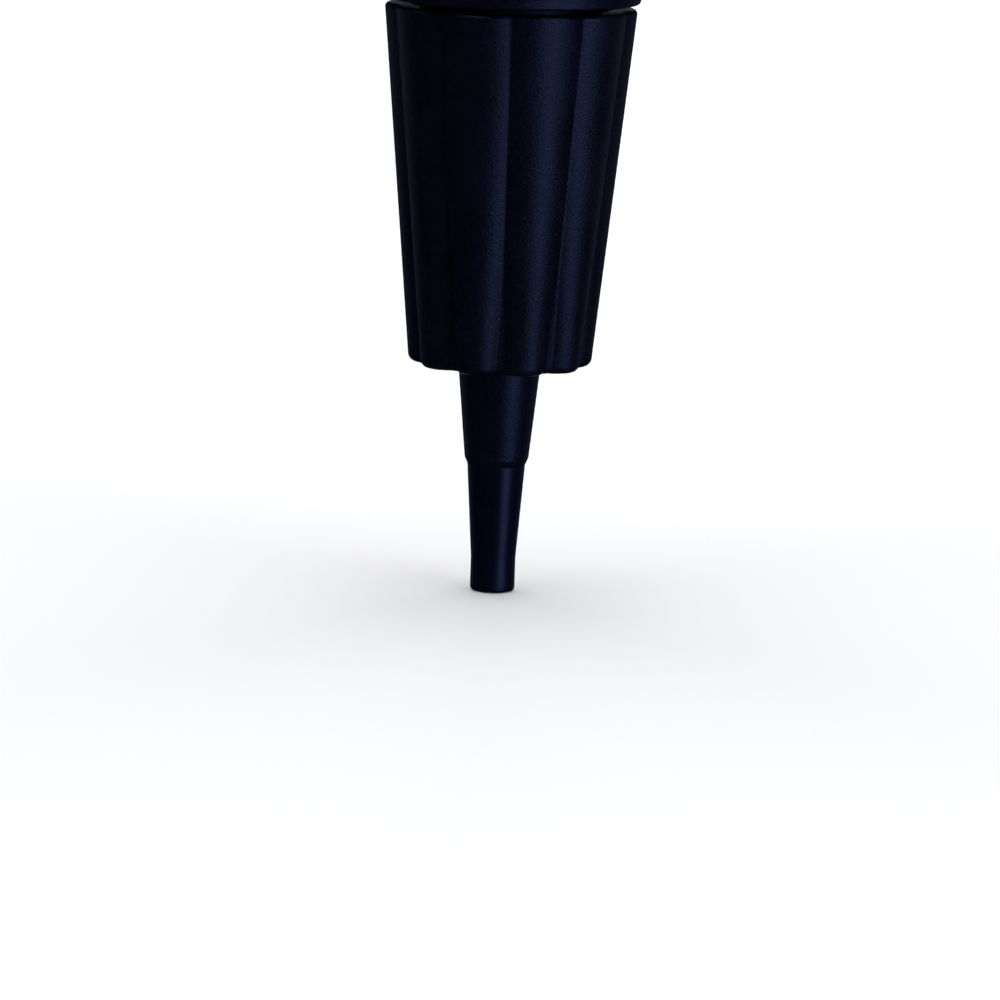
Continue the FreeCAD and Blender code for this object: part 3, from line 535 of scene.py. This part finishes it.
def lobed_ring(z, inset=0.0):
    """All ten lobes at the level z, drawn in towards the axis by inset."""
    share = (z - NOSE_BASE) / (NOSE_TOP - NOSE_BASE)
    half = half_lobe(*(low + (high - low) * share for low, high in (CREST, CURVE, FLOOR)))
    lobe = half + [Vector((p.x, -p.y)) for p in half[-2:0:-1]]
    ring = []
    for i in range(LOBES):
        turn = Matrix.Rotation(math.tau * i / LOBES + NOSE_PHASE, 2)
        for point in lobe:
            x, y = turn @ (point * (1 - inset / point.length))
            ring.append((x, y, z))
    return ring


def plain_ring(radius, z, like):
    """A round ring whose points lie at the angles of another ring's."""
    return [(radius * x / math.hypot(x, y), radius * y / math.hypot(x, y), z) for x, y, _ in like]


def nose_shell():
    """The nose's skin, with its edges rounded by NOSE_FOOT and NOSE_BROW, and the stepped bore inside it."""
    quarter = [math.pi / 2 * k / 6 for k in range(7)]
    bottom = [lobed_ring(NOSE_BASE + NOSE_FOOT * (1 - math.cos(a)), NOSE_FOOT * (1 - math.sin(a)))
              for a in quarter]
    flank = NOSE_TOP - NOSE_BASE - NOSE_FOOT - NOSE_BROW
    middle = [lobed_ring(NOSE_BASE + NOSE_FOOT + flank * k / 8) for k in range(1, 8)]
    top = [lobed_ring(NOSE_TOP - NOSE_BROW * (1 - math.sin(a)), NOSE_BROW * (1 - math.cos(a)))
           for a in quarter]
    inside = [
        (14.9, NOSE_TOP), (14.4, NOSE_TOP - 0.5), (14.4, 72.0), (13.4, 71.0), (13.4, 65.95), (11.4, 65.95),
        (11.4, 62.0), (12.8, 58.0), (10.6, SPOUT_TOP), (6.8, SPOUT_TOP), (6.5, SPOUT_TOP - 0.3),
        (6.5, NOSE_BASE + 0.4), (6.9, NOSE_BASE),
    ]
    return ring_loft(bottom + middle + top + [plain_ring(r, z, bottom[0]) for r, z in inside])


nose_thread = thread_ridge(foot=14.45, crest=13.55, start=75.5, height=THREAD_HEIGHT)
nose = mesh_object("nose_lobes", *join_parts(nose_shell(), nose_thread), "nose", nose_plastic, "nose_plastic")
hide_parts("nose_cone")

# ---- nozzle: a stepped taper with softened corners ----

NOZZLE_BORE, BORE_DEPTH = 2.2, 24.0
TIP_RADIUS, LAND_TOP = 3.3, 5.0
STEP_LOW, STEP_RADII = 19.0, (4.27, 4.72)
NECK_TOP = 62.0
FLANGE_BASE = 66.0

nozzle = mesh_object("nozzle_spout", *join_parts(turned_mesh(rounded([
    (NOZZLE_BORE, TIP_LEVEL, 0.3), (TIP_RADIUS, TIP_LEVEL, 0.7), (TIP_RADIUS, LAND_TOP, 6),
    (STEP_RADII[0], STEP_LOW, 0.35), (STEP_RADII[1], STEP_TOP, 0.6), (6.3, SPOUT_TOP, 8), (10.9, NECK_TOP, 4),
    (11.0, FLANGE_BASE, 0.3), (FLANGE_RADIUS, FLANGE_BASE, 0.3), (FLANGE_RADIUS, FLANGE_TOP, 0.3),
    (10.8, FLANGE_TOP, 0.3), (9.3, NECK_TOP, 4), (4.2, 36.0, 4), (NOZZLE_BORE, BORE_DEPTH, 2),
]))), "spout", nozzle_plastic, "nose_plastic")
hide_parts("nozzle")

# ---- lower housing: smooth collar, threaded core ----

HOUSING_RADIUS, CORE_RADIUS = 19.95, 13.3
AIRWAY_RADIUS = 10.8
SPIGOT_RADIUS, SOCKET_RADIUS = 17.95, 15.95
SHELF_TOP = 111.0
PLATE_SEAT, PLATE_ROOM = 15.0, 98.0
CAGE_RADIUS = 14.2

collar = rounded([
    (AIRWAY_RADIUS, HOUSING_BASE, 0.2), (13.0, HOUSING_BASE, 0.4), (13.0, 72.5, 0.1),
    (CORE_RADIUS, 72.8, 0.1), (CORE_RADIUS, COLLAR_BASE, 0.3), (18.78, COLLAR_BASE, 0.45),
    (HOUSING_RADIUS, 103.4, 0.5), (19.7, BARREL_BASE, 0.2), (SPIGOT_RADIUS, BARREL_BASE, 0),
    (SPIGOT_RADIUS, HOUSING_TOP, 0.5), (SOCKET_RADIUS, HOUSING_TOP, 0), (SOCKET_RADIUS, SHELF_TOP, 0),
    (PLATE_SEAT, SHELF_TOP, 0), (PLATE_SEAT, PLATE_ROOM, 0), (CAGE_RADIUS, PLATE_ROOM, 0),
    (CAGE_RADIUS, 90.5, 0.5), (AIRWAY_RADIUS, 86.0, 0.5),
])
collar_thread = thread_ridge(foot=13.25, crest=14.2, start=74.0, height=THREAD_HEIGHT)
housing = mesh_object("collar_housing", *join_parts(turned_mesh(collar), collar_thread),
                      "barrel", nose_plastic, "nose_plastic")
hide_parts("lower_housing")

# ---- barrel ----

BARREL_RADIUS, BARREL_BORE = 20.0, 18.0
NECK_RADIUS, NECK_BASE = 19.6, 223.5

barrel = mesh_object("barrel_shell", *join_parts(turned_mesh(rounded([
    (BARREL_BORE, BARREL_BASE, 0), (19.65, BARREL_BASE, 0.15), (BARREL_RADIUS, BARREL_BASE + 0.5, 0.35),
    (BARREL_RADIUS, NECK_BASE, 0.3), (NECK_RADIUS, NECK_BASE, 0), (NECK_RADIUS, BARREL_TOP, 0.3),
    (BARREL_BORE, BARREL_TOP, 0),
]))), "barrel", barrel_plastic, "barrel_plastic")
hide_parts("barrel_tube")

# ---- gland cap: rounded flutes that fade into a domed shoulder ----

CAP_FLUTES = 24
STEPS_PER_FLUTE = 16
FLUTE_DEPTH = 0.75
FLUTE_REACH = 1.7
FLUTE_END = 238.5
FLUTE_RUN_OUT = 2.5
FLUTE_INNER, FLUTE_BLEND = 21.0, 1.8
GLAND_BORE, BUSH_BORE = 20.9, 14.6
BUSH_SEAT = 238.0


def cap_ring(radius, z, depth):
    """A ring whose radius dips by depth at each flute."""
    steps = CAP_FLUTES * STEPS_PER_FLUTE
    ring = []
    for i in range(steps):
        angle = math.tau * i / steps
        offset = radius * abs((angle * CAP_FLUTES / math.tau + 0.5) % 1 - 0.5) * math.tau / CAP_FLUTES
        dip = depth * 0.5 * (1 + math.cos(math.pi * min(offset / FLUTE_REACH, 1.0)))
        ring.append(((radius - dip) * math.cos(angle), (radius - dip) * math.sin(angle), z))
    return ring


def flute_depth(radius, z):
    """The flutes' depth, which runs out towards the shoulder and the foot's inner edge."""
    outwards = min(1.0, max(0.0, (radius - FLUTE_INNER) / FLUTE_BLEND))
    upwards = min(1.0, max(0.0, (FLUTE_END - z) / FLUTE_RUN_OUT))
    return FLUTE_DEPTH * outwards * upwards


def cap_shell():
    """Rings along the cap's rounded outline, with more of them up the fluted side."""
    outline = rounded([
        (GLAND_BORE, GLAND_BASE, 0.3), (GLAND_RADIUS, GLAND_BASE, 0.8), (GLAND_RADIUS, GLAND_TOP, 2.6),
        (BUSH_BORE, GLAND_TOP, 0.7), (BUSH_BORE, BUSH_SEAT, 0), (GLAND_BORE, BUSH_SEAT, 0),
    ], 8)
    side = [225.5 + 1.3 * k for k in range(9)] + [236.8 + 0.35 * k for k in range(4)]
    rings = []
    for r, z in outline:
        rings.append(cap_ring(r, z, flute_depth(r, z)))
        if abs(r - GLAND_RADIUS) < 1e-3 and z < 226:
            rings += [cap_ring(r, level, flute_depth(r, level)) for level in side]
    return ring_loft(rings)


cap = mesh_object("gland_nut", *join_parts(cap_shell()), "barrel", nose_plastic, "nose_plastic")
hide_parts("gland_cap")

# ---- plunger tube ----

TUBE_BORE = 12.2

tube = mesh_object("plunger_shell", *join_parts(turned_mesh(rounded([
    (TUBE_BORE, TUBE_BASE, 0.2), (TUBE_RADIUS, TUBE_BASE, 0.3), (TUBE_RADIUS, TUBE_TOP, 0.3),
    (TUBE_BORE, TUBE_TOP, 0.2),
]))), "plunger", plunger_plastic, "plunger_plastic")
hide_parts("plunger_tube")

# ---- handle: two hollow shells that meet on the XZ plane ----

SEAM = 0.04
SHELL_EDGE = 0.25
HUB_RADIUS = 17.6
HUB_FILLET = 4.5
ARM_BORE, ARM_BORE_START = 7.0, 20.0
SCREW_PLACES = (-20.2, 20.2)


def handle_solid(x, y, z):
    """The whole T handle as one hollow solid, with the bar along X and z counted from the bar's axis."""
    hub = round_bar(x, y, z, radius=HUB_RADIUS, low=-19.0, high=14.5, edge=2.2)
    skirt = HUB_RADIUS - 0.5 * np.clip(-13 - z, 0, 6) / 3
    hub = np.maximum(hub, np.hypot(x, y) - skirt)
    stout = round_bar(y, z, x, radius=12.0, low=-24.0, high=24.0, edge=0.9)
    core = round_bar(y, z, x, radius=9.4, low=-54.0, high=54.0, edge=0.3)
    body = np.minimum(blended(hub, stout, HUB_FILLET), core)
    hollow = np.maximum(np.hypot(y, z) - ARM_BORE, ARM_BORE_START - np.abs(x))
    socket = round_bar(x, y, z, radius=14.05, low=-30.0, high=8.0)
    room = round_bar(x, y, z, radius=12.0, low=-30.0, high=11.8)
    vent = round_bar(x, y, z, radius=6.0, low=-30.0, high=30.0)
    holes = np.minimum(np.minimum(hollow, socket), np.minimum(room, vent))
    return np.maximum(body, -holes)


def handle_half(facing, recess):
    """One shell's distance; facing is -1 for the shell on the -Y side. recess opens the screw holes."""
    def distance(x, y, z):
        shell = trimmed(handle_solid(x, y, z), SEAM - facing * y, SHELL_EDGE)
        if recess:
            for centre in SCREW_PLACES:
                seat = round_bar(x - centre, z, facing * y, radius=3.0, low=8.6, high=30.0)
                pilot = round_bar(x - centre, z, facing * y, radius=1.7, low=-1.0, high=30.0)
                shell = np.maximum(trimmed(shell, -seat, SHELL_EDGE), -pilot)
        return shell
    return distance


def at_handle(points, faces):
    """A closed shell's points raised from the bar's axis to the bar's level, and its faces."""
    return join_parts(([(x, y, z + HANDLE_LEVEL) for x, y, z in points], faces))


HALF_DEPTH = 18.5
shell_step = 0.5
for name, facing, recess in (("handle_front", -1, False), ("handle_back", 1, True)):
    low_y, high_y = sorted((0.0, facing * HALF_DEPTH))
    net = net_mesh(handle_half(facing, recess), (-55, low_y - 1, -20.5), (55, high_y + 1, 16), shell_step)
    shell = mesh_object(name + "_shell", *at_handle(*net), "plunger", nose_plastic, "nose_plastic")
    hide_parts(name)

# ---- grips with finger ribs, end caps, vent cap ----

GRIP_START, GRIP_END = 24.1, 53.9
GRIP_BORE = 9.45
GRIP_RADIUS, SWELL = 12.3, 0.8
GRIP_EDGE = 0.8
GRIP_STEPS = 120
RIBS = 7
RIB_DEPTH = 0.55
RIBBED_FROM, RIBBED_SHARE = 0.14, 0.72
ROUND_STEPS = 128


def grip_outline(side):
    """(x, radius) round the sleeve's section: a barrel shape with soft ribs along its middle."""
    outer = []
    for k in range(GRIP_STEPS + 1):
        share = k / GRIP_STEPS
        x = GRIP_START + (GRIP_END - GRIP_START) * share
        swell = GRIP_RADIUS + SWELL * math.sin(math.pi * share)
        wave = (share - RIBBED_FROM) / RIBBED_SHARE * RIBS
        rib = 0.5 * (1 - math.cos(math.tau * wave)) if 0 < wave < RIBS else 0.0
        end = min(share, 1 - share) * (GRIP_END - GRIP_START)
        short = max(0.0, GRIP_EDGE - end)
        ease = GRIP_EDGE - math.sqrt(GRIP_EDGE**2 - short**2)
        outer.append((side * x, swell - RIB_DEPTH * rib**0.7 - ease))
    return outer + [(side * GRIP_END, GRIP_BORE), (side * GRIP_START, GRIP_BORE)]


def cap_outline(side):
    """(x, radius) round the end cap's section: a plug in the bar, and a dished lid on its end."""
    end = rounded([
        (46.0, 5.35, 0), (46.0, 6.95, 0.4), (54.05, 6.95, 0), (54.05, 12.5, 0.4), (58.5, 12.5, 2.4),
        (58.5, 7.0, 0.4), (58.0, 6.4, 0.4), (58.0, 0.0, 0), (55.5, 0.0, 0), (55.5, 5.35, 0),
    ])
    return [(side * x, r) for x, r in end]


for side, facing in (("right", 1), ("left", -1)):
    sleeve = turned_mesh(grip_outline(facing), ROUND_STEPS, "X", HANDLE_LEVEL)
    grip = mesh_object(f"grip_{side}", *join_parts(sleeve), "plunger", grip_rubber, "grip_rubber")
    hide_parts(f"grip_sleeve_{side}")
    stopper = turned_mesh(cap_outline(facing), ROUND_STEPS, "X", HANDLE_LEVEL)
    plug = mesh_object(f"bar_end_{side}", *join_parts(stopper), "plunger", nose_plastic, "nose_plastic")
    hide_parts(f"end_cap_{side}")

VENT_SLOTS = 6
SLOT_RADIUS, SLOT_MIDDLE, SLOT_HALF = 0.5, 2.8, 0.95
DISH_RADIUS, DISH_CENTRE = 30.05, 46.0


def vent_solid(x, y, z):
    """The vent cap's lid, dished and slotted, on its hollow spigot, with z counted from the bar's axis."""
    lid = round_bar(x, y, z, radius=9.6, low=14.5, high=16.3, edge=0.7)
    dish = np.hypot(np.hypot(x, y), z - DISH_CENTRE) - DISH_RADIUS
    bore = round_bar(x, y, z, radius=4.6, low=0.0, high=14.7)
    spigot = np.maximum(round_bar(x, y, z, radius=5.9, low=11.8, high=15.5, edge=0.2), -bore)
    solid = trimmed(np.minimum(lid, spigot), -dish, 0.3)
    for k in range(VENT_SLOTS):
        turn = math.tau * k / VENT_SLOTS
        along = x * math.cos(turn) + y * math.sin(turn)
        aside = np.abs(-x * math.sin(turn) + y * math.cos(turn))
        slot = np.hypot(np.maximum(np.abs(along - SLOT_MIDDLE) - SLOT_HALF, 0), aside) - SLOT_RADIUS
        solid = trimmed(solid, -slot, 0.15)
    return solid


vent_step = 0.2
vent_net = net_mesh(vent_solid, (-10, -10, 11), (10, 10, 17), vent_step)
vent = mesh_object("vent_lid", *at_handle(*vent_net), "plunger", nose_plastic, "nose_plastic")
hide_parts("vent_cap")


# ---- floor, backdrop, lights and camera, in metres ----

FLOOR_RADIUS = 1.0
FLOOR_SIDES = 96
PALE = (0.84, 0.84, 0.85, 1)
BACKDROP_RADIUS = 12.0
BACKDROP_SIDES = 24
BACKDROP_GLOW = 1.1
BLACK = (0, 0, 0, 1)
WHITE = (1, 1, 1, 1)


def stage_piece(name, vertices, faces, colour, glow):
    """A piece of the studio, which neither mirrors in the pump nor shades it."""
    mesh = bpy.data.meshes.new(name)
    mesh.from_pydata(vertices, [], faces)
    piece = bpy.data.objects.new(name, mesh)
    bpy.context.scene.collection.objects.link(piece)
    material, tree, shader = new_material(name)
    wire(tree, shader, Base_Color=colour, Roughness=0.6, Emission_Color=WHITE, Emission_Strength=glow)
    mesh.materials.append(material)
    piece.visible_glossy = False
    piece.visible_shadow = False
    return piece


def round_points(radius, sides, z):
    return [(radius * math.cos(math.tau * i / sides), radius * math.sin(math.tau * i / sides), z)
            for i in range(sides)]


def studio():
    """A round pale floor, and far round it a white backdrop that only the camera sees."""
    stage_piece("floor", round_points(FLOOR_RADIUS, FLOOR_SIDES, 0), [range(FLOOR_SIDES)], PALE, 0.0)
    count = BACKDROP_SIDES
    low = round_points(BACKDROP_RADIUS, count, -BACKDROP_RADIUS)
    high = round_points(BACKDROP_RADIUS, count, BACKDROP_RADIUS)
    walls_and_pore_shade = [(i, (i + 1) % count, count + (i + 1) % count, count + i) for i in range(count)]
    ends = [range(count), range(count, 2 * count)]
    backdrop = stage_piece("backdrop", low + high, walls_and_pore_shade + ends, BLACK, BACKDROP_GLOW)
    backdrop.visible_diffuse = False


def area_light(name, place, aim, width, height, power, colour=(1, 1, 1)):
    """A rectangular light, unseen by the camera, whose power is in watts."""
    data = bpy.data.lights.new(name, "AREA")
    data.shape = "RECTANGLE"
    data.size = width
    data.size_y = height
    data.energy = power
    data.color = colour
    light = bpy.data.objects.new(name, data)
    light.location = place
    light.visible_camera = False
    light.rotation_euler = (Vector(aim) - Vector(place)).to_track_quat("-Z", "Y").to_euler()
    bpy.context.scene.collection.objects.link(light)


studio()
MIDDLE = (0, 0, 0.08)
KEY_TINT = (0.76, 0.83, 1.0)
RIM_TINT = (0.5, 0.62, 1.0)
area_light("key", (0.72, -0.76, 0.22), MIDDLE, width=0.60, height=0.5, power=2.6, colour=KEY_TINT)
area_light("bounce", (0.75, -0.73, -0.28), MIDDLE, width=0.56, height=0.34, power=0.75, colour=KEY_TINT)
for name, x in (("rim_left", -0.72), ("rim_right", 0.72)):
    area_light(name, (x, 0.84, -0.12), MIDDLE, width=0.9, height=0.7, power=0.14, colour=RIM_TINT)
area_light("back", (0, 1.05, 0.2), MIDDLE, width=0.3, height=0.5, power=0.4, colour=KEY_TINT)
area_light("back_bounce", (0, 1.0, -0.42), MIDDLE, width=0.3, height=0.4, power=0.3, colour=KEY_TINT)
area_light("top", (0, 0.4, 2.2), (0, 0.4, 0), width=3.0, height=3.0, power=102)

world = bpy.data.worlds.new("studio")
world.use_nodes = True
sky = world.node_tree.nodes["Background"]
sky.inputs["Color"].default_value = (0.9, 0.92, 1.0, 1)
sky.inputs["Strength"].default_value = 0.006
bpy.context.scene.world = world

CAMERA_AIM = Vector((0.00074, 0, 0.0135))
CAMERA_RANGE = 0.74
CAMERA_TILT = math.radians(10.6)
CAMERA_ROLL = math.radians(1.92)
camera_data = bpy.data.cameras.new("camera")
camera_data.lens = 180
camera_data.sensor_width = 36
camera = bpy.data.objects.new("camera", camera_data)
camera.location = CAMERA_AIM + CAMERA_RANGE * Vector((0, -math.cos(CAMERA_TILT), math.sin(CAMERA_TILT)))
view = (CAMERA_AIM - camera.location).to_track_quat("-Z", "Y").to_matrix()
camera.rotation_euler = (view @ Matrix.Rotation(CAMERA_ROLL, 3, "Z")).to_euler()
bpy.context.scene.collection.objects.link(camera)
bpy.context.scene.camera = camera
bpy.context.scene.view_settings.view_transform = "Standard"
